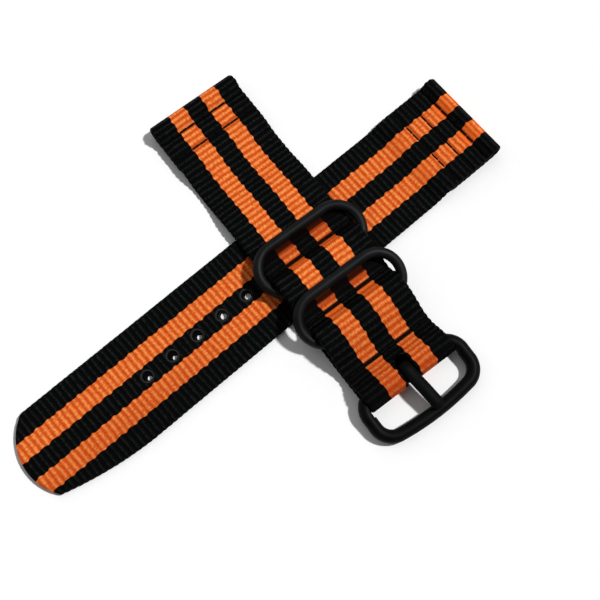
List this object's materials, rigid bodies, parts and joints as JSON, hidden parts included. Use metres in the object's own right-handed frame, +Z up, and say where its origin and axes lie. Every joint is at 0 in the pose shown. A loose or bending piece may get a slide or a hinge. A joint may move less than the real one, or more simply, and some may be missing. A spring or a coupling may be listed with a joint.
{
  "type": "nylon watch strap",
  "caption": "Nylon webbing watch strap with lengthwise stripes: an eyelet tail lying under a buckle piece with wire keeper rings, an oval buckle and a tongue.",
  "frame": {"origin": "middle of the bottom of the box round both pieces as they lie, one across the other", "axes": "+Z up from the table, +X along the tail piece towards its spring bar loop (the tail itself is turned 3.5 degrees from it), +Y along the buckle piece from the buckle to its spring bar loop"},
  "size_m": [0.1184, 0.0858, 0.0081],
  "materials": {
    "webbing": "ribbed woven nylon, black with two orange lengthwise stripes",
    "thread": "matt black sewing thread",
    "hardware": "satin black coated steel"
  },
  "bodies": {
    "tail_piece": {"tail_webbing": "webbing", "tail_stitch_row_1": "thread", "tail_stitch_row_2": "thread", "tail_stitch_row_3": "thread"},
    "buckle_piece": {"buckle_webbing": "webbing", "lug_stitch_row_1": "thread", "lug_stitch_row_2": "thread", "upper_keeper_stitch_row": "thread", "middle_stitch_row": "thread", "buckle_stitch_row": "thread"},
    "upper_keeper": {"upper_keeper_ring": "hardware"},
    "lower_keeper": {"lower_keeper_ring": "hardware"},
    "frame": {"buckle_frame": "hardware"},
    "tongue": {"buckle_tongue": "hardware"}
  },
  "joints": [
    {"name": "buckle_piece_lift", "type": "slide", "parent": "tail_piece", "child": "buckle_piece", "axis": [0, 0, 1], "range_m": [0, 0.03]},
    {"name": "upper_keeper_turn", "type": "hinge", "parent": "buckle_piece", "child": "upper_keeper", "pos_m": [0.01266, -0.00524, 0.00385], "axis": [1, 0, 0], "range_deg": [0, 15]},
    {"name": "lower_keeper_turn", "type": "hinge", "parent": "buckle_piece", "child": "lower_keeper", "pos_m": [0.01266, -0.01824, 0.00305], "axis": [1, 0, 0], "range_deg": [0, 15]},
    {"name": "frame_turn", "type": "hinge", "parent": "buckle_piece", "child": "frame", "pos_m": [0.01266, -0.03174, 0.0026], "axis": [-1, 0, 0], "range_deg": [-60, 30]},
    {"name": "tongue_turn", "type": "hinge", "parent": "frame", "child": "tongue", "pos_m": [0.01266, -0.03174, 0.0026], "axis": [-1, 0, 0], "range_deg": [0, 80]}
  ]
}
